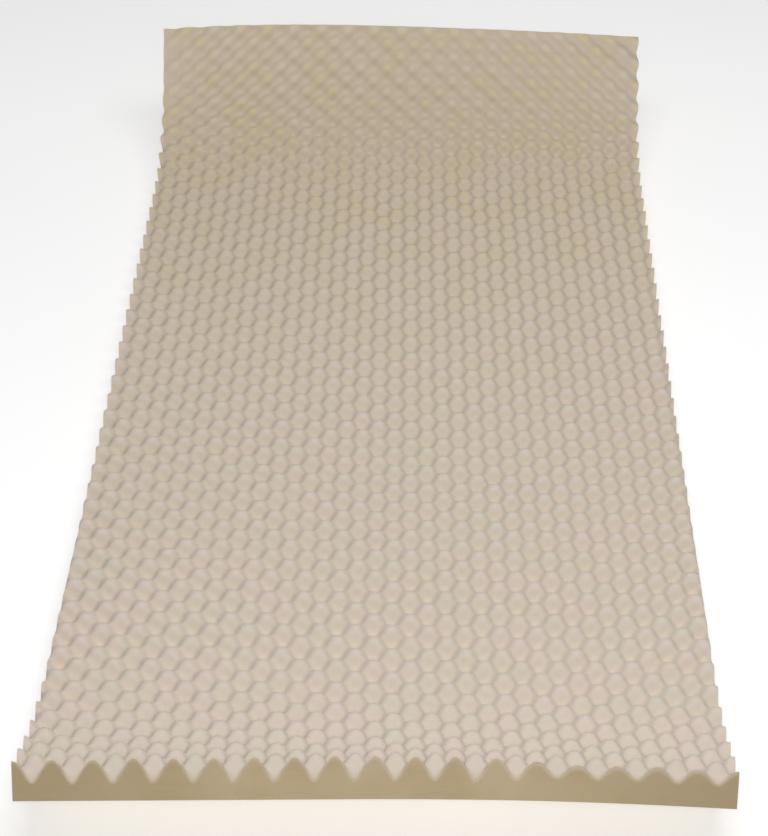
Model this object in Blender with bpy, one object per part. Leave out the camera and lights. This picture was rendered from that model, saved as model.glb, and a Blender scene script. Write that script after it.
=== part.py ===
"""Convoluted (egg-crate) foam mattress topper, lying unrolled on a flat surface.

One slab of foam: a flat underside, a grid of rounded peaks on top and four cut edges. The middle
lies flat. The near end curls up a little and the far end curls up a lot, from having been rolled.
Metres, +Z up, X across the width, +Y towards the far end. The origin is at the bottom centre.
"""

import math

import bmesh
import bpy

# The foam as cut, measured flat.
WIDTH = 0.838
LENGTH = 1.829
THICKNESS = 0.0508
BASE = 0.022  # solid foam below the deepest valley
NEUTRAL = 0.011  # height above the underside that keeps its length when the foam bends

# The grid of peaks: a peak in the middle of each square of four others.
PEAKS_ACROSS = 18
PEAKS_ALONG = 41.75
PITCH_ACROSS = WIDTH / PEAKS_ACROSS
PITCH_ALONG = LENGTH / PEAKS_ALONG
FIRST_ROW = 0.0044  # from the near cut to the middle of its row of peaks
COLUMN_SLANT = 0.0127  # sideways run of a column of peaks, for each metre along the foam
ROW_SLANT = 0.0155  # lengthwise run of the nearest row of peaks, for each metre across
ROW_SLANT_LOSS = 0.8  # share of that slant which is gone at the far cut
NEAR_DRIFT = 0.006  # extra sideways run of the columns over the near curl

# How it lies. A curl's angle is the slope that its end reaches.
NEAR_CURL = 0.280
NEAR_ANGLE = math.radians(37.6)
NEAR_POWER = 1.5  # above 1, the curl starts gently and tightens towards the cut
FAR_CURL = 0.398
FAR_STRAIGHT = 0.073  # the last of the far end, past its bend
FAR_ANGLE = math.radians(51.5)
NEAR_SAG = 0.0063  # how far both corners of the near cut hang below its middle
NEAR_TWIST = -0.0027  # how much further the +X corner hangs than that
FAR_SAG = 0.033
FAR_TWIST = 0.033
FAR_SIDESTEP = 0.007  # sideways shift of the far cut

STEP = 0.001  # spacing of the points worked out along the side line
SNAP = 0.003  # a grid point this near a cut is moved onto it
SAME_PLANE = math.radians(0.05)  # underside faces within this angle are one flat face
SAME_CURL = math.radians(1.5)  # and within this one, where the underside curls up
SAME_HEIGHT = 0.0001
FOAM_COLOUR = (0.60, 0.50, 0.41, 1.0)


def ease(t):
    """0 to 1 with a soft start and end."""
    t = min(max(t, 0.0), 1.0)
    return t * t * (3 - 2 * t)


def near_share(s):
    """1 at the near cut, 0 where the near curl starts. s runs along the foam from the near cut."""
    return max(0.0, 1 - s / NEAR_CURL)


def far_share(s):
    """1 at the far cut, 0 where the far curl starts."""
    return max(0.0, 1 - (LENGTH - s) / FAR_CURL)


def slope(s):
    """Angle of the foam above the level, rising towards +Y."""
    bend = ease((s - (LENGTH - FAR_CURL)) / (FAR_CURL - FAR_STRAIGHT))
    return FAR_ANGLE * bend - NEAR_ANGLE * near_share(s) ** NEAR_POWER


def side_line():
    """(y, z) of the neutral line at every STEP, with the flat middle at its own height."""
    points = [(0.0, 0.0)]
    for index in range(math.ceil(LENGTH / STEP)):
        angle = slope((index + 0.5) * STEP)
        y, z = points[-1]
        points.append((y + STEP * math.cos(angle), z + STEP * math.sin(angle)))
    lowest = min(z for _, z in points)
    return [(y, z - lowest + NEUTRAL) for y, z in points]


def column_drift(s):
    """How far towards -X the columns of peaks have run at s."""
    return COLUMN_SLANT * s + NEAR_DRIFT * ease(1 - near_share(s))


def row_slant(s):
    return ROW_SLANT * (1 - ROW_SLANT_LOSS * s / LENGTH)


def foam_height(x, s):
    """Height of the top above the underside: crossed waves, so peaks and valleys alternate."""
    across = 2 * (x + column_drift(s)) / PITCH_ACROSS
    along = 2 * (s - FIRST_ROW - row_slant(s) * x) / PITCH_ALONG
    wave = math.cos(math.pi * across) * math.cos(math.pi * along)
    return BASE + (THICKNESS - BASE) * (1 + wave) / 2


def lying_place(x, s, height, line):
    """Where a point of the flat foam ends up once the foam lies with its ends curled."""
    share = x / (WIDTH / 2)
    near, far = near_share(s), far_share(s)
    sag = (NEAR_SAG * share**2 + NEAR_TWIST * share) * near**3
    sag += (FAR_SAG * share**2 + FAR_TWIST * share) * far**3
    lift = height - NEUTRAL - sag
    index = min(int(s / STEP), len(line) - 2)
    part = s / STEP - index
    y = line[index][0] * (1 - part) + line[index + 1][0] * part
    z = line[index][1] * (1 - part) + line[index + 1][1] * part
    angle = slope(s)
    return (x + FAR_SIDESTEP * far**2, y - math.sin(angle) * lift, z + math.cos(angle) * lift)


def clear_scene():
    for old in list(bpy.data.objects):
        bpy.data.objects.remove(old, do_unlink=True)


def foam_material():
    material = bpy.data.materials.new("foam")
    material.use_nodes = True
    shader = material.node_tree.nodes["Principled BSDF"]
    shader.inputs["Base Color"].default_value = FOAM_COLOUR
    shader.inputs["Roughness"].default_value = 0.95
    shader.inputs["Metallic"].default_value = 0.0
    return material


def lay_grid(bm):
    """A flat grid with a point on every peak and every valley, a little larger than the foam."""
    spare = 2
    columns = 2 * PEAKS_ACROSS + 2 * spare
    rows = math.ceil(2 * PEAKS_ALONG) + 2 * spare
    bmesh.ops.create_grid(bm, x_segments=columns, y_segments=rows, size=0.5)
    for vertex in bm.verts:
        column = round((vertex.co.x + 0.5) * columns) - columns / 2 + spare / 2
        row = round((vertex.co.y + 0.5) * rows) - spare
        s = row * PITCH_ALONG / 2 + FIRST_ROW
        x = column * PITCH_ACROSS / 2 - column_drift(s)
        s += row_slant(s) * x
        if abs(abs(x) - WIDTH / 2) < SNAP:
            x = math.copysign(WIDTH / 2, x)
        for cut in (0.0, LENGTH):
            if abs(s - cut) < SNAP:
                s = cut
        vertex.co = (x, s, 0)


def trim(bm):
    """Cuts the grid to the foam's width and length."""
    cuts = (
        ((WIDTH / 2, 0, 0), (1, 0, 0)),
        ((-WIDTH / 2, 0, 0), (-1, 0, 0)),
        ((0, 0, 0), (0, -1, 0)),
        ((0, LENGTH, 0), (0, 1, 0)),
    )
    for place, outward in cuts:
        bmesh.ops.bisect_plane(
            bm,
            geom=bm.verts[:] + bm.edges[:] + bm.faces[:],
            dist=1e-6,
            plane_co=place,
            plane_no=outward,
            clear_outer=True,
        )


def thicken(bm):
    """Raises a copy of the trimmed sheet into the foam's top, with walls down to the underside."""
    raised = bmesh.ops.extrude_face_region(bm, geom=bm.faces[:], use_keep_orig=True)
    top = {item for item in raised["geom"] if isinstance(item, bmesh.types.BMVert)}
    for vertex in top:
        vertex.co.z = foam_height(vertex.co.x, vertex.co.y)
    return top


def split_between_valleys(top):
    """Splits the top's four-sided faces from valley to valley, so that each peak stands alone."""
    faces = {face for vertex in top for face in vertex.link_faces
             if len(face.verts) == 4 and top.issuperset(face.verts)}
    for face in sorted(faces, key=lambda face: face.index):
        corners = face.verts[:]
        first, second = corners[0::2], corners[1::2]
        if sum(vertex.co.z for vertex in first) > sum(vertex.co.z for vertex in second):
            first = second
        bmesh.utils.face_split(face, *first)


def lay_down(bm):
    line = side_line()
    for vertex in bm.verts:
        vertex.co = lying_place(*vertex.co, line)


def merge_underside(bm, top):
    """Joins the underside's small faces where it is flat, and across the curls where it bends."""
    def inner_edges():
        return [edge for edge in bm.edges
                if len(edge.link_faces) == 2
                and not any(vertex in top for face in edge.link_faces for vertex in face.verts)]

    bmesh.ops.dissolve_limit(bm, angle_limit=SAME_PLANE, verts=[], edges=inner_edges())
    raised = [edge for edge in inner_edges() if min(end.co.z for end in edge.verts) > SAME_HEIGHT]
    bmesh.ops.dissolve_limit(bm, angle_limit=SAME_CURL, verts=[], edges=raised)


def centre(bm):
    """Moves the foam so that the origin is at the bottom centre of its box."""
    for axis in (0, 1):
        values = [vertex.co[axis] for vertex in bm.verts]
        middle = (min(values) + max(values)) / 2
        for vertex in bm.verts:
            vertex.co[axis] -= middle


def make_foam_pad(collection):
    bm = bmesh.new()
    lay_grid(bm)
    trim(bm)
    top = thicken(bm)
    bm.faces.index_update()
    split_between_valleys(top)
    lay_down(bm)
    merge_underside(bm, top)
    centre(bm)
    bmesh.ops.recalc_face_normals(bm, faces=bm.faces[:])
    mesh = bpy.data.meshes.new("foam_pad")
    bm.to_mesh(mesh)
    bm.free()
    pad = bpy.data.objects.new("foam_pad", mesh)
    pad.data.materials.append(foam_material())
    collection.objects.link(pad)
    return pad


def main():
    clear_scene()
    collection = bpy.data.collections.new("mattress_topper")
    bpy.context.scene.collection.children.link(collection)
    make_foam_pad(collection)


main()
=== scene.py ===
"""Convoluted foam mattress topper, lying unrolled with its far end curled up.

The foam is one padded piece: a fine grid of rounded peaks over a flat underside, with four cut
edges. It is worked out flat, then laid down with its ends curled, in the frame's own place.
"""

import math

import bmesh
import bpy
import numpy as np
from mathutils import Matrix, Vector, noise


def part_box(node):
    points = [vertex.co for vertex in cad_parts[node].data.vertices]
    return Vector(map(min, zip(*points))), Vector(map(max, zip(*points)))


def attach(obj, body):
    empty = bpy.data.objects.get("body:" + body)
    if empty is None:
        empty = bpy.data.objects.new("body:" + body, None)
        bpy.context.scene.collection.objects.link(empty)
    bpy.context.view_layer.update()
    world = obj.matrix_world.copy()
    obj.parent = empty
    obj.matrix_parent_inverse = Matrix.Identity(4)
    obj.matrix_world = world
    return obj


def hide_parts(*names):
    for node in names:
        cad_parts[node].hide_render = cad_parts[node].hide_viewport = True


bl_info = {
    "name": "Foam Mattress Topper",
    "version": (1, 0, 0),
    "blender": (4, 5, 0),
    "location": "3D View > Sidebar > Topper",
    "description": "Convoluted foam mattress topper with curled ends, on a plain studio floor",
    "category": "Add Mesh",
}

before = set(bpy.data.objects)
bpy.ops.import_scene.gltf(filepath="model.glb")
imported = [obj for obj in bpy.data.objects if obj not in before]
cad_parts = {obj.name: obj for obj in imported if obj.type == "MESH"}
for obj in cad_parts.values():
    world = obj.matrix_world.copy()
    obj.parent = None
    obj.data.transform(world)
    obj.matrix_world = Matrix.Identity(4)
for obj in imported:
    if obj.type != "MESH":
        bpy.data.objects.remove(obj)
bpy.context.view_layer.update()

LINE_STEP = 0.001  # spacing of the points worked out along the side line
CELLS_PER_PEAK = 11  # mesh faces across one peak, each way
UNDER_FACES = 11  # mesh faces of the top for each one of the underside, each way
CUT_REACH = 10  # power of the near share: the higher, the closer to the near cut a change stays
WEAR_REACH = 25  # the same, for the worn peaks
SAG_REACH = 3  # the same, for the sag of either cut
CORNER_REACH = 8  # power of the share along, for how far a cut's outline carries into the foam
SIDE_REACH = 14  # power of the share across, for scallops and the deeper valleys at the sides
WEAR_START, WEAR_END = 0.3, 0.55  # across, from 0 in the middle to 1 at +X
BAND_TURN = 1.5  # the higher, the narrower the middle where the slanting bands change sides
BUNCH_START, BUNCH_TOP, BUNCH_END = 0.38, 0.80, 1.50  # where the rows bunch up and ease off
FAR_EDGE = 0.020  # length of the far end over which its peaks flatten towards the cut
MIDDLE_TRIM = 0.3  # share of the far trim that reaches all across
MIDDLE_PINCH = 0.3  # share of the near pinch that is there in the middle too
WANDER_WIDTH = 0.09  # width of the patches that wander together
WANDER_SEEDS = 1.5, 7.5  # across and along
UNEVEN_WIDTH = 0.05  # width of the patches of one height
UNEVEN_SEED = 3.5
UNEVEN_MIDDLE = 0.3  # above 0, peaks are lowered more than they are raised
SMOOTH_ANGLE = math.radians(60)  # edges up to this are shaded as round

AGE_START, AGE_END = 0.35, 0.95  # along the foam, where its ageing starts and is full
GAP_SHADE_START, GAP_SHADE_END = 0.05, 0.4  # along the foam, where the painted shade in the gaps starts to grow and is at its strongest
GAP_SHADE_NEAR, GAP_SHADE_MORE = 0.28, 0.27  # strength of the painted shade between peaks at the near cut, and its growth
PEAK_TOP, PEAK_SIDE = 0.97, 0.55  # rise at which the painted shade starts below a peak's top and is darkest
SIDE_SHADE_START, SIDE_SHADE_END = 0.3, 1.0  # across, where the painted shade on the near cut starts and is darkest
RIM_START, RIM_END = 0.88, 1.0  # height on a cut face where its pale rim starts and is palest
FADE_LENGTH = 0.005  # share of the length over which the skin turns into the near cut's colour
FLOOR_GLOW = 0.55
FLOOR_PATCHES = 0.97  # brightness of the floor's faint patches

FLOOR_SIZE = 14
FLOOR_GAP = 0.0005  # keeps the floor just clear of the underside
OVERHEAD_PLACE, OVERHEAD_AIM, OVERHEAD_SIZE = (0.35, -0.6, 2.6), (0.35, -0.3, 0), (2.5, 1.5)
FRONT_PLACE, FRONT_AIM, FRONT_SIZE = (0.05, -2.75, 1.95), (0, 0, 0), (0.8, 0.6)
SENSOR_WIDTH = 36


def length(name, description, default):
    return bpy.props.FloatProperty(
        name=name, description=description, default=default, unit="LENGTH", precision=4)


def angle(name, description, degrees):
    return bpy.props.FloatProperty(
        name=name, description=description, default=math.radians(degrees), subtype="ANGLE")


def number(name, description, default):
    return bpy.props.FloatProperty(
        name=name, description=description, default=default, precision=4)


def colour(name, description, default):
    return bpy.props.FloatVectorProperty(
        name=name, description=description, default=default, size=3, min=0, max=1,
        subtype="COLOR")


class FoamCut(bpy.types.PropertyGroup):
    """The foam as cut, measured flat, and the grid of peaks on it."""

    width: length("Width", "Across the foam", 0.838)
    length: length("Length", "Along the foam, from cut to cut", 1.829)
    thickness: length("Thickness", "From the underside to the peaks", 0.0508)
    base: length("Base", "Solid foam below the deepest valley", 0.022)
    neutral: length("Neutral height", "Height that keeps its length when the foam bends", 0.011)
    peaks_across: bpy.props.IntProperty(
        name="Peaks across", description="Peaks in one row", default=18, min=1)
    peaks_along: number("Peaks along", "Peaks in one column", 41.75)
    column_slant: number("Column slant", "Sideways run of a column for each metre", 0.0127)
    row_slant: number("Row slant", "Lengthwise run of the nearest row for each metre", 0.0155)
    row_slant_loss: number("Row slant loss", "Share of that slant gone at the far cut", 0.8)
    near_drift: length("Near drift", "Extra sideways run over the near curl", 0.006)
    near_skew: length("Near skew", "How far the near cut slants to follow its peaks", 0.0065)
    near_wear: number("Near wear", "Share of the relief gone from its +X peaks", 0.71)
    near_fill: number("Near fill", "Share of the relief that its +X valleys rise", 0.26)
    row_creep: length("Row creep", "How far rows bunch up before the middle", 0.015)
    far_trim: length("Far trim", "How much of the -X far corner is cut off", 0.009)
    side_lean: length("Side lean", "How far the sides lean in from top to underside", 0.003)
    fullness: number("Fullness", "Above 1, peaks are broad and valleys narrow", 1.3)
    cut_fullness: number("Fullness at the near cut", "The same, right at the near cut", 1.15)
    far_fullness: number("Far fullness", "The same, on the far curl", 1.1)
    far_bands: number("Far bands", "How far peaks of the far curl join up slantwise", 0.35)
    depth: number("Valley depth", "Share of the full valley depth, away from the cuts", 0.62)
    side_depth: number("Side valley depth", "The same, along both sides", 0.75)
    far_depth: number("Far valley depth", "The same, on the far curl, pressed from rolling", 0.48)
    edge_fade: number("Far edge fade", "Share of that gone at the far cut and -X side", 0.7)


class FoamLie(bpy.types.PropertyGroup):
    """How the foam lies. A curl's angle is the slope that its end reaches."""

    near_curl: length("Near curl", "Length of foam in the near curl", 0.280)
    near_angle: angle("Near angle", "Slope at the near cut", 37.3)
    near_power: number("Near tightening", "Above 1, the curl tightens towards the cut", 1.5)
    near_sag: length("Near sag", "How far the near corners hang below the middle", 0.0070)
    near_twist: length("Near twist", "How much further the +X near corner hangs", -0.0012)
    near_ripple: length("Near ripple", "How far the near cut waves up at +X, down at -X", 0.0018)
    far_curl: length("Far curl", "Length of foam in the far curl", 0.398)
    far_straight: length("Far straight", "The last of the far end, past its bend", 0.073)
    far_angle: angle("Far angle", "Slope at the far cut", 51.5)
    far_sag: length("Far sag", "How far the far corners hang below the middle", 0.033)
    far_twist: length("Far twist", "How much further the +X far corner hangs", 0.033)
    far_sidestep: length("Far sidestep", "Sideways shift of the far cut", 0.007)
    far_spread: length("Far spread", "How far the -X side of the far cut spreads", 0.0105)
    near_pinch: number("Near pinch", "Share of the thickness lost at the near corners", 0.06)
    left_scallop: length("-X scallops", "How far peaks bulge out of the -X side", 0.004)
    right_scallop: length("+X scallops", "How far peaks bulge out of the +X side", 0.003)
    wobble: length("Wobble", "How far peaks wander from their grid, at most", 0.0012)
    unevenness: length("Unevenness", "How much peaks differ in height", 0.0017)


class FoamColours(bpy.types.PropertyGroup):
    """Colours of the foam, as it looks on its peaks, its aged end and its cut edges."""

    fresh: colour("Fresh", "Top of the foam at the near end", (0.86, 0.735, 0.65))
    cool: colour("Cool patches", "Greyer patches of the top", (0.83, 0.75, 0.63))
    aged: colour("Aged", "Top of the foam at the curled end", (0.83, 0.705, 0.56))
    stain: colour("Yellowing", "Soft blotches on the curled end", (0.81, 0.70, 0.44))
    # painted shade: the colour that darkens saddles and valleys between the peaks
    gap: colour("Painted shade between peaks", "Saddles and valleys between the peaks", (0.70, 0.60, 0.47))
    cut: colour("Cut edge", "Flat cut faces", (0.52, 0.40, 0.235))
    # painted shade: the colour the cut faces darken to towards both sides
    cut_side_shade: colour("Shaded cut edge", "Cut faces near the corners", (0.44, 0.34, 0.195))
    cut_pale: colour("Pale cut edge", "Lighter parts of the cut faces", (0.58, 0.46, 0.29))
    floor: colour("Floor", "Studio floor", (0.70, 0.70, 0.70))


class StageLayout(bpy.types.PropertyGroup):
    """Camera and lights."""

    lens: number("Lens", "Focal length in millimetres on a 36 mm sensor", 89.35)
    camera_x: length("Camera X", "Sideways place of the camera", 0.0474)
    camera_y: length("Camera Y", "Lengthwise place of the camera", -2.5633)
    camera_z: length("Camera Z", "Height of the camera", 1.8313)
    camera_pitch: angle("Camera pitch", "How far the camera looks down", 36.11)
    camera_yaw: angle("Camera yaw", "How far the camera turns to the left", 1.38)
    key_power: number("Overhead light", "Watts of the large light overhead", 38.0)
    fill_power: number("Front light", "Watts of the soft light beside the camera", 16.0)
    sky: number("Room light", "Strength of the even light all round", 0.15)


def ease(t):
    """0 to 1 with a soft start and end."""
    t = np.clip(t, 0.0, 1.0)
    return t * t * (3 - 2 * t)


def slope(s, cut, lie):
    """Angle of the foam above the level at s, measured along the foam from the near cut."""
    near = np.clip(1 - s / lie.near_curl, 0, None)
    bend = ease((s - (cut.length - lie.far_curl)) / (lie.far_curl - lie.far_straight))
    return lie.far_angle * bend - lie.near_angle * near**lie.near_power


def side_line(cut, lie):
    """Points (s, y, z) of the neutral line, which runs a little past both cuts."""
    before = math.ceil(cut.near_skew / LINE_STEP) + 1
    s = LINE_STEP * np.arange(-before, math.ceil((cut.length + cut.far_trim) / LINE_STEP) + 2)
    middle = slope(s[:-1] + LINE_STEP / 2, cut, lie)
    y = np.concatenate([[0], np.cumsum(np.cos(middle))]) * LINE_STEP
    z = np.concatenate([[0], np.cumsum(np.sin(middle))]) * LINE_STEP
    return s, y - y[before], z - z.min() + cut.neutral


def relief(x, s, near, pressed, cut):
    """0 in the valleys to 1 on the peaks: two slanting trains of waves that cross.

    near is 1 at the near cut and 0 past its curl. pressed is 1 past the bend of the far curl.
    """
    share = 2 * x / cut.width
    drift = cut.column_slant * s + cut.near_drift * ease(1 - near)
    slant = cut.row_slant * (1 - cut.row_slant_loss * s / cut.length)
    across = 2 * (x + drift) * cut.peaks_across / cut.width
    creep = ease((s - BUNCH_START) / (BUNCH_TOP - BUNCH_START))
    creep = creep - ease((s - BUNCH_TOP) / (BUNCH_END - BUNCH_TOP))
    along = 2 * (s + cut.row_creep * creep - slant * x) * cut.peaks_along / cut.length
    bands = cut.far_bands * pressed * np.clip(-BAND_TURN * share, -1, 1)
    wave = (1 - bands) * np.cos(math.pi * (across + along))
    wave = (2 + wave + (1 + bands) * np.cos(math.pi * (across - along))) / 4
    wave = np.clip(wave, 0.0, 1.0)
    fullness = cut.fullness + (cut.cut_fullness - cut.fullness) * near**CUT_REACH
    fullness = fullness + (cut.far_fullness - cut.fullness) * pressed
    worn = ease((share - WEAR_START) / (WEAR_END - WEAR_START)) * near**WEAR_REACH
    return (1 - (1 - wave) ** fullness) * (1 - cut.near_wear * worn) + cut.near_fill * worn


def drifts(x, s, size, seed):
    """Smooth random values from -1 to 1, one for each point, in patches as wide as size."""
    return np.array([noise.noise(Vector((a / size, b / size, seed))) for a, b in zip(x, s)])


def lay_down(x, s, height, cut, lie):
    """Where points of the flat foam end up once it lies with its ends curled."""
    line = side_line(cut, lie)
    share = x / (cut.width / 2)
    near = np.clip(1 - s / lie.near_curl, 0, None)
    far = np.clip(1 - (cut.length - s) / lie.far_curl, 0, None)
    sag = lie.near_sag * share**2 + lie.near_twist * share
    sag = (sag - lie.near_ripple * np.sin(math.pi * share)) * near**SAG_REACH
    sag = sag + (lie.far_sag * share**2 + lie.far_twist * share) * far**SAG_REACH
    lift = height - cut.neutral - sag
    tilt = slope(s, cut, lie)
    y = np.interp(s, line[0], line[1]) - np.sin(tilt) * lift
    z = np.interp(s, line[0], line[2]) + np.cos(tilt) * lift
    left = np.clip(-share, 0, None)
    return np.stack([x + (lie.far_sidestep - lie.far_spread * left) * far**2, y, z], axis=1)


def clear_selection():
    for chosen in bpy.context.selected_objects:
        chosen.select_set(False)


def flat_slab(cut):
    """A closed slab with a fine grid on both sides: x and y from -0.5 to 0.5, z from 0 to 1."""
    columns = cut.peaks_across * CELLS_PER_PEAK
    rows = round(cut.peaks_along * CELLS_PER_PEAK / UNDER_FACES) * UNDER_FACES
    clear_selection()
    bpy.ops.mesh.primitive_grid_add(
        x_subdivisions=columns, y_subdivisions=rows, size=1, location=(0, 0, 0))
    slab = bpy.context.object
    bpy.ops.object.mode_set(mode="EDIT")
    bpy.ops.mesh.select_all(action="SELECT")
    bpy.ops.mesh.extrude_region_move(TRANSFORM_OT_translate={"value": (0, 0, 1)})
    bpy.ops.mesh.select_all(action="SELECT")
    bpy.ops.mesh.normals_make_consistent(inside=False)
    bpy.ops.object.mode_set(mode="OBJECT")
    return slab, columns, rows


def thin_underside(slab, columns, rows):
    """Leaves only some of the underside's lines, which are enough for its smooth bend."""
    bm = bmesh.new()
    bm.from_mesh(slab.data)

    def kept(edge):
        first, second = (vertex.co for vertex in edge.verts)
        if abs(first.x - second.x) < 0.5 / columns:
            return round((first.x + 0.5) * columns) % UNDER_FACES == 0
        return round((first.y + 0.5) * rows) % UNDER_FACES == 0

    low = [edge for edge in bm.edges
           if max(vertex.co.z for vertex in edge.verts) < 0.5
           and all(max(corner.co.z for corner in face.verts) < 0.5 for face in edge.link_faces)
           and not kept(edge)]
    bmesh.ops.dissolve_edges(bm, edges=low, use_verts=True, use_face_split=False)
    bm.to_mesh(slab.data)
    bm.free()


def shape_foam(slab, cut, lie):
    """Turns the slab's even coordinates into the foam's own, and lays it down."""
    mesh = slab.data
    places = np.empty(len(mesh.vertices) * 3)
    mesh.vertices.foreach_get("co", places)
    places = places.reshape(-1, 3)
    x = places[:, 0] * cut.width
    t = places[:, 1] + 0.5
    share = 2 * x / cut.width
    top = places[:, 2] > 0.5
    skewed = cut.near_skew * share * (1 - t) ** CORNER_REACH
    trimmed = cut.far_trim * (np.clip(-share, 0, 1) ** 3 + MIDDLE_TRIM) * t**CORNER_REACH
    s = cut.length * t + skewed - trimmed
    near = np.clip(1 - s / lie.near_curl, 0, 1)
    far = ease((s - (cut.length - lie.far_curl)) / (lie.far_curl - lie.far_straight))
    pressed = far**2
    wander_x = x + lie.wobble * drifts(x, s, WANDER_WIDTH, WANDER_SEEDS[0])
    wander_s = s + lie.wobble * drifts(x, s, WANDER_WIDTH, WANDER_SEEDS[1])
    rise = relief(wander_x, wander_s, near, pressed, cut)
    side = np.abs(share) ** SIDE_REACH
    depth = cut.depth + (cut.side_depth - cut.depth) * side
    depth = depth + (1 - depth) * near**CUT_REACH + (cut.far_depth - depth) * pressed
    edge = np.maximum(np.where(share < 0, side, 0.0), ease((s - cut.length) / FAR_EDGE + 1))
    depth = depth * (1 - cut.edge_fade * far * edge)
    uneven = drifts(x, s, UNEVEN_WIDTH, UNEVEN_SEED) - UNEVEN_MIDDLE
    peak = cut.thickness + lie.unevenness * uneven
    height = peak - (cut.thickness - cut.base) * depth * (1 - rise)
    pinch = lie.near_pinch * (MIDDLE_PINCH + share**2) * near**CUT_REACH
    height = np.where(top, height * (1 - pinch), 0.0)
    bend = 4 * far * (1 - far)
    scallop = np.where(share < 0, -lie.left_scallop * bend, lie.right_scallop * far)
    bulge = scallop * (rise - 0.5) * side
    lean = cut.side_lean * share * (1 - height / cut.thickness)
    laid = lay_down(x + bulge - lean, s, height, cut, lie)
    mesh.vertices.foreach_set("co", laid.astype(np.float32).ravel())
    kept = {"top": top, "rise": np.where(top, rise, 0.0), "along": t, "across": share}
    for name, values in kept.items():
        attribute = mesh.attributes.new(name, "FLOAT", "POINT")
        attribute.data.foreach_set("value", values.astype(np.float32))
    mesh.update()


def place_in_frame(slab, lie):
    """Moves the mesh to the frame's floor and middle, which the far sidestep has shifted."""
    low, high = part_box("foam_pad")
    places = np.empty(len(slab.data.vertices) * 3)
    slab.data.vertices.foreach_get("co", places)
    places = places.reshape(-1, 3)
    middle = (places.min(axis=0) + places.max(axis=0)) / 2
    places[:, 0] += (low.x + high.x - lie.far_sidestep) / 2
    places[:, 1] += (low.y + high.y) / 2 - middle[1]
    places[:, 2] += low.z - places[:, 2].min()
    slab.data.vertices.foreach_set("co", places.astype(np.float32).ravel())
    slab.data.update()


# Materials

def add_node(tree, kind, place, values=None, **settings):
    node = tree.nodes.new(kind)
    node.location = place
    for key, value in settings.items():
        setattr(node, key, value)
    for key, value in (values or {}).items():
        node.inputs[key].default_value = value
    return node


def new_group(name, inputs, outputs):
    """An empty node group. inputs hold (name, kind, default), outputs (name, kind)."""
    group = bpy.data.node_groups.new(name, "ShaderNodeTree")
    for label, kind, default in inputs:
        socket = group.interface.new_socket(label, in_out="INPUT", socket_type=kind)
        if default is not None:
            socket.default_value = default
    for label, kind in outputs:
        group.interface.new_socket(label, in_out="OUTPUT", socket_type=kind)
    start = add_node(group, "NodeGroupInput", (-800, 0))
    end = add_node(group, "NodeGroupOutput", (600, 0))
    return group, start, end


def cell_group():
    """Open cells of the foam: small round pits between thin walls."""
    group, start, end = new_group(
        "Foam cells",
        (("Vector", "NodeSocketVector", None), ("Cells per metre", "NodeSocketFloat", 700.0)),
        (("Height", "NodeSocketFloat"), ("Pits", "NodeSocketFloat")))
    link = group.links.new
    cells = add_node(group, "ShaderNodeTexVoronoi", (-500, 100), {"Randomness": 1.0})
    grain = add_node(group, "ShaderNodeTexNoise", (-500, -200), {"Detail": 3.0, "Roughness": 0.6})
    link(start.outputs["Vector"], cells.inputs["Vector"])
    link(start.outputs["Vector"], grain.inputs["Vector"])
    link(start.outputs["Cells per metre"], cells.inputs["Scale"])
    link(start.outputs["Cells per metre"], grain.inputs["Scale"])
    walls = add_node(group, "ShaderNodeMapRange", (-250, 100), {"From Max": 0.6})
    link(cells.outputs["Distance"], walls.inputs["Value"])
    both = add_node(group, "ShaderNodeMath", (0, 0), operation="MULTIPLY_ADD")
    both.inputs[1].default_value = 0.5
    link(grain.outputs["Fac"], both.inputs[0])
    link(walls.outputs["Result"], both.inputs[2])
    link(both.outputs[0], end.inputs["Height"])
    pits = add_node(group, "ShaderNodeMapRange", (0, 250),
                    {"From Max": 0.35, "To Min": 1.0, "To Max": 0.0})
    link(cells.outputs["Distance"], pits.inputs["Value"])
    link(pits.outputs["Result"], end.inputs["Pits"])
    return group


def blotch_group():
    """Soft uneven patches, from 0 to 1."""
    group, start, end = new_group(
        "Soft blotches",
        (("Vector", "NodeSocketVector", None), ("Patches per metre", "NodeSocketFloat", 12.0),
         ("Low", "NodeSocketFloat", 0.35), ("High", "NodeSocketFloat", 0.65)),
        (("Mask", "NodeSocketFloat"),))
    link = group.links.new
    patches = add_node(group, "ShaderNodeTexNoise", (-500, 0), {"Detail": 3.0, "Roughness": 0.55})
    link(start.outputs["Vector"], patches.inputs["Vector"])
    link(start.outputs["Patches per metre"], patches.inputs["Scale"])
    spread = add_node(group, "ShaderNodeMapRange", (-200, 0), interpolation_type="SMOOTHSTEP")
    link(patches.outputs["Fac"], spread.inputs["Value"])
    link(start.outputs["Low"], spread.inputs["From Min"])
    link(start.outputs["High"], spread.inputs["From Max"])
    link(spread.outputs["Result"], end.inputs["Mask"])
    return group


def use_group(tree, group, place, values=None):
    node = add_node(tree, "ShaderNodeGroup", place, node_tree=group)
    for key, value in (values or {}).items():
        node.inputs[key].default_value = value
    return node


def mix_colours(tree, place, first, second, factor, blend="MIX"):
    """Colour output of a Mix node. Each of the three is a socket or a plain value."""
    node = add_node(tree, "ShaderNodeMix", place, data_type="RGBA", blend_type=blend)
    for socket, given in ((node.inputs[6], first), (node.inputs[7], second),
                          (node.inputs[0], factor)):
        if isinstance(given, bpy.types.NodeSocket):
            tree.links.new(given, socket)
        elif socket.type == "RGBA":
            socket.default_value = (*given, 1.0)
        else:
            socket.default_value = given
    return node.outputs[2]


def scaled(tree, place, socket, times, plus=0.0):
    """socket * times + plus"""
    node = add_node(tree, "ShaderNodeMath", place, operation="MULTIPLY_ADD")
    node.inputs[1].default_value = times
    node.inputs[2].default_value = plus
    tree.links.new(socket, node.inputs[0])
    return node.outputs[0]


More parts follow.
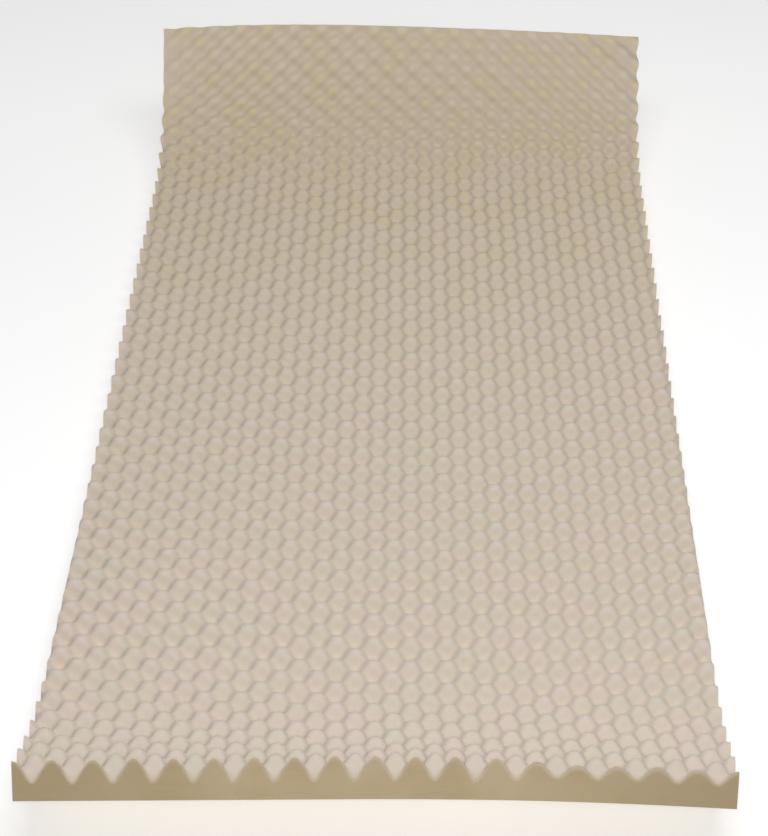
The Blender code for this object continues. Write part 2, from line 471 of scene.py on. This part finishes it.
def product(tree, place, first, second):
    node = add_node(tree, "ShaderNodeMath", place, operation="MULTIPLY")
    tree.links.new(first, node.inputs[0])
    tree.links.new(second, node.inputs[1])
    return node.outputs[0]


def new_material(name):
    material = bpy.data.materials.new(name)
    material.use_nodes = True
    tree = material.node_tree
    shader = tree.nodes["Principled BSDF"]
    shader.location = (900, 0)
    shader.inputs["Metallic"].default_value = 0.0
    shader.inputs["Specular IOR Level"].default_value = 0.25
    shader.inputs["Sheen Weight"].default_value = 0.12
    shader.inputs["Sheen Roughness"].default_value = 0.6
    place = add_node(tree, "ShaderNodeTexCoord", (-1500, 0)).outputs["Object"]
    return material, tree, shader, place


def add_bump(tree, shader, height, strength, distance):
    bump = add_node(tree, "ShaderNodeBump", (650, -400),
                    {"Strength": strength, "Distance": distance})
    tree.links.new(height, bump.inputs["Height"])
    tree.links.new(bump.outputs["Normal"], shader.inputs["Normal"])


def read_attribute(tree, place, name):
    return add_node(tree, "ShaderNodeAttribute", place, attribute_name=name).outputs["Fac"]


def ramp(tree, place, socket, start, end):
    """0 up to start and 1 from end, with a soft rise between. end may be below start."""
    node = add_node(tree, "ShaderNodeMapRange", place,
                    {"From Min": start, "From Max": end}, interpolation_type="SMOOTHSTEP")
    tree.links.new(socket, node.inputs["Value"])
    return node.outputs["Result"]


def foam_skin(colours, cells, blotches):
    """The relief: pale and pinkish near, darker and yellower far, with painted shade darkening the
    gaps between peaks.
    """
    material, tree, shader, place = new_material("foam_skin")
    rise = read_attribute(tree, (-1500, -300), "rise")
    along = read_attribute(tree, (-1500, -500), "along")
    patches = use_group(tree, blotches, (-1200, 300), {"Patches per metre": 15.0})
    tree.links.new(place, patches.inputs["Vector"])
    base = mix_colours(tree, (-800, 200), colours.fresh, colours.cool, patches.outputs["Mask"])
    age = ramp(tree, (-1200, -500), along, AGE_START, AGE_END)
    base = mix_colours(tree, (-500, 200), base, colours.aged, age)
    stains = use_group(tree, blotches, (-1200, 0),
                       {"Patches per metre": 14.0, "Low": 0.40, "High": 0.64})
    tree.links.new(place, stains.inputs["Vector"])
    stained = product(tree, (-500, -100), stains.outputs["Mask"], age)
    stained = product(tree, (-350, -100), stained, ramp(tree, (-900, -300), rise, 0.0, 1.0))
    base = mix_colours(tree, (-200, 200), base, colours.stain, stained)
    # Painted shade: saddles and valleys between the peaks darken towards the gap colour, more so
    # along the foam
    gap_shade_growth = ramp(tree, (-900, -450), along, GAP_SHADE_START, GAP_SHADE_END)
    gap_shade_growth = scaled(tree, (-600, -450), gap_shade_growth, GAP_SHADE_MORE, GAP_SHADE_NEAR)
    gap = ramp(tree, (-600, -300), rise, PEAK_TOP, PEAK_SIDE)
    gap = product(tree, (-350, -300), gap, gap_shade_growth)
    base = mix_colours(tree, (0, 200), base, colours.gap, gap)
    at_cut = scaled(tree, (0, -300), ramp(tree, (-300, -500), along, FADE_LENGTH, 0.0), 0.7)
    base = mix_colours(tree, (200, 200), base, colours.cut_pale, at_cut)
    foam = use_group(tree, cells, (-1200, -700), {"Cells per metre": 750.0})
    tree.links.new(place, foam.inputs["Vector"])
    pitted = scaled(tree, (100, -100), foam.outputs["Pits"], 0.10)
    base = mix_colours(tree, (400, 200), base, colours.cut, pitted)
    tree.links.new(base, shader.inputs["Base Color"])
    rough = scaled(tree, (400, -100), foam.outputs["Pits"], 0.08, 0.86)
    tree.links.new(rough, shader.inputs["Roughness"])
    add_bump(tree, shader, foam.outputs["Height"], 0.35, 0.0006)
    return material


def foam_cut_face(colours, cells, blotches):
    """The cut faces and the underside: yellower, with faint level streaks left by the blade."""
    material, tree, shader, place = new_material("foam_cut")
    patches = use_group(tree, blotches, (-1200, 300), {"Patches per metre": 9.0})
    tree.links.new(place, patches.inputs["Vector"])
    base = mix_colours(tree, (-500, 200), colours.cut, colours.cut_pale, patches.outputs["Mask"])
    stretch = add_node(tree, "ShaderNodeMapping", (-1200, 0), {"Scale": (1.0, 1.0, 14.0)})
    tree.links.new(place, stretch.inputs["Vector"])
    streaks = use_group(tree, blotches, (-900, 0), {"Patches per metre": 18.0})
    tree.links.new(stretch.outputs["Vector"], streaks.inputs["Vector"])
    faint = scaled(tree, (-500, -100), streaks.outputs["Mask"], 0.25)
    base = mix_colours(tree, (-200, 200), base, colours.cut_pale, faint)
    # Painted shade: the cut faces darken from the middle towards both sides
    across = read_attribute(tree, (-1200, -300), "across")
    side = add_node(tree, "ShaderNodeMath", (-900, -300), operation="ABSOLUTE")
    tree.links.new(across, side.inputs[0])
    side_shade = ramp(tree, (-600, -300), side.outputs[0], SIDE_SHADE_START, SIDE_SHADE_END)
    side_shade = scaled(tree, (-350, -300), side_shade, 0.8)
    base = mix_colours(tree, (0, 200), base, colours.cut_side_shade, side_shade)
    top = read_attribute(tree, (-1200, -500), "top")
    rim = scaled(tree, (-350, -500), ramp(tree, (-600, -500), top, RIM_START, RIM_END), 0.3)
    base = mix_colours(tree, (200, 200), base, colours.fresh, rim)
    foam = use_group(tree, cells, (-1200, -700), {"Cells per metre": 650.0})
    tree.links.new(place, foam.inputs["Vector"])
    pitted = scaled(tree, (100, -100), foam.outputs["Pits"], 0.15)
    base = mix_colours(tree, (400, 200), base, colours.stain, pitted)
    tree.links.new(base, shader.inputs["Base Color"])
    rough = scaled(tree, (400, -100), foam.outputs["Pits"], 0.08, 0.88)
    tree.links.new(rough, shader.inputs["Roughness"])
    add_bump(tree, shader, foam.outputs["Height"], 0.4, 0.0006)
    return material


def floor_material(colours, blotches):
    """A pale matt floor that glows a little, so that it stays pale all round."""
    material, tree, shader, place = new_material("studio_floor")
    shader.inputs["Sheen Weight"].default_value = 0.0
    shader.inputs["Emission Color"].default_value = (1.0, 1.0, 1.0, 1.0)
    shader.inputs["Emission Strength"].default_value = FLOOR_GLOW
    patches = use_group(tree, blotches, (-1200, 300), {"Patches per metre": 1.5})
    tree.links.new(place, patches.inputs["Vector"])
    darker = tuple(FLOOR_PATCHES * value for value in colours.floor)
    base = mix_colours(tree, (-500, 200), colours.floor, darker, patches.outputs["Mask"])
    tree.links.new(base, shader.inputs["Base Color"])
    shader.inputs["Roughness"].default_value = 0.9
    return material


def shared_group(name, make):
    return bpy.data.node_groups.get(name) or make()


def paint_faces(pad):
    """Gives the top the first material, and the walls and underside the second."""
    mesh = pad.data
    top = np.empty(len(mesh.vertices), np.float32)
    mesh.attributes["top"].data.foreach_get("value", top)
    for face in mesh.polygons:
        face.material_index = 0 if all(top[corner] > 0.5 for corner in face.vertices) else 1


class TOPPER_OT_foam_pad(bpy.types.Operator):
    """Make the foam pad with its peaks, lay it down and give it its foam materials"""

    bl_idname = "topper.foam_pad"
    bl_label = "Foam Pad"

    def execute(self, context):
        scene = context.scene
        cut, lie, colours = scene.foam_cut, scene.foam_lie, scene.foam_colours
        pad, columns, rows = flat_slab(cut)
        pad.name = "foam_topper"
        thin_underside(pad, columns, rows)
        shape_foam(pad, cut, lie)
        place_in_frame(pad, lie)
        cells = shared_group("Foam cells", cell_group)
        blotches = shared_group("Soft blotches", blotch_group)
        pad.data.materials.clear()
        pad.data.materials.append(foam_skin(colours, cells, blotches))
        pad.data.materials.append(foam_cut_face(colours, cells, blotches))
        paint_faces(pad)
        clear_selection()
        pad.select_set(True)
        context.view_layer.objects.active = pad
        bpy.ops.object.shade_smooth_by_angle(angle=SMOOTH_ANGLE)
        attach(pad, "root")
        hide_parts("foam_pad")
        return {"FINISHED"}


def add_area_light(name, place, aim, size, power):
    """A soft rectangular light at place that shines towards aim and isn't seen itself."""
    turn = (Vector(aim) - Vector(place)).to_track_quat("-Z", "Y").to_euler()
    bpy.ops.object.light_add(type="AREA", location=place, rotation=turn)
    lamp = bpy.context.object
    lamp.name = name
    lamp.data.shape = "RECTANGLE"
    lamp.data.size, lamp.data.size_y = size
    lamp.data.energy = power
    lamp.visible_camera = False
    return lamp


class TOPPER_OT_stage(bpy.types.Operator):
    """Set the pale floor, the soft lights and the camera"""

    bl_idname = "topper.stage"
    bl_label = "Studio Stage"

    def execute(self, context):
        scene = context.scene
        layout, colours = scene.stage_layout, scene.foam_colours
        floor_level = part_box("foam_pad")[0].z
        bpy.ops.mesh.primitive_plane_add(
            size=FLOOR_SIZE, location=(0, 0, floor_level - FLOOR_GAP))
        floor = context.object
        floor.name = "floor"
        blotches = shared_group("Soft blotches", blotch_group)
        floor.data.materials.append(floor_material(colours, blotches))
        add_area_light(
            "overhead", OVERHEAD_PLACE, OVERHEAD_AIM, OVERHEAD_SIZE, layout.key_power)
        add_area_light("front", FRONT_PLACE, FRONT_AIM, FRONT_SIZE, layout.fill_power)
        world = bpy.data.worlds.new("studio")
        world.use_nodes = True
        background = world.node_tree.nodes["Background"]
        background.inputs["Color"].default_value = (1, 1, 1, 1)
        background.inputs["Strength"].default_value = layout.sky
        scene.world = world
        scene.view_settings.view_transform = "Standard"
        place = (layout.camera_x, layout.camera_y, layout.camera_z)
        turn = (math.pi / 2 - layout.camera_pitch, 0, layout.camera_yaw)
        bpy.ops.object.camera_add(location=place, rotation=turn)
        camera = context.object
        camera.data.sensor_width = SENSOR_WIDTH
        camera.data.lens = layout.lens
        scene.camera = camera
        return {"FINISHED"}


class TOPPER_PT_panel(bpy.types.Panel):
    """Sizes, colours and making of the foam topper"""

    bl_label = "Foam Topper"
    bl_idname = "TOPPER_PT_panel"
    bl_space_type = "VIEW_3D"
    bl_region_type = "UI"
    bl_category = "Topper"

    def draw(self, context):
        scene = context.scene
        for title, group in (("Foam as cut", scene.foam_cut), ("How it lies", scene.foam_lie),
                             ("Colours", scene.foam_colours), ("Stage", scene.stage_layout)):
            box = self.layout.box()
            box.label(text=title)
            for key in group.__annotations__:
                box.prop(group, key)
        self.layout.operator(TOPPER_OT_foam_pad.bl_idname)
        self.layout.operator(TOPPER_OT_stage.bl_idname)


GROUPS = {
    "foam_cut": FoamCut,
    "foam_lie": FoamLie,
    "foam_colours": FoamColours,
    "stage_layout": StageLayout,
}
OPERATORS = (TOPPER_OT_foam_pad, TOPPER_OT_stage)


def register():
    for cls in (*GROUPS.values(), *OPERATORS, TOPPER_PT_panel):
        bpy.utils.register_class(cls)
    for name, cls in GROUPS.items():
        setattr(bpy.types.Scene, name, bpy.props.PointerProperty(type=cls))


def unregister():
    for name in GROUPS:
        delattr(bpy.types.Scene, name)
    for cls in reversed((*GROUPS.values(), *OPERATORS, TOPPER_PT_panel)):
        bpy.utils.unregister_class(cls)


def main():
    register()
    bpy.ops.topper.foam_pad()
    bpy.ops.topper.stage()


if __name__ == "__main__":
    main()
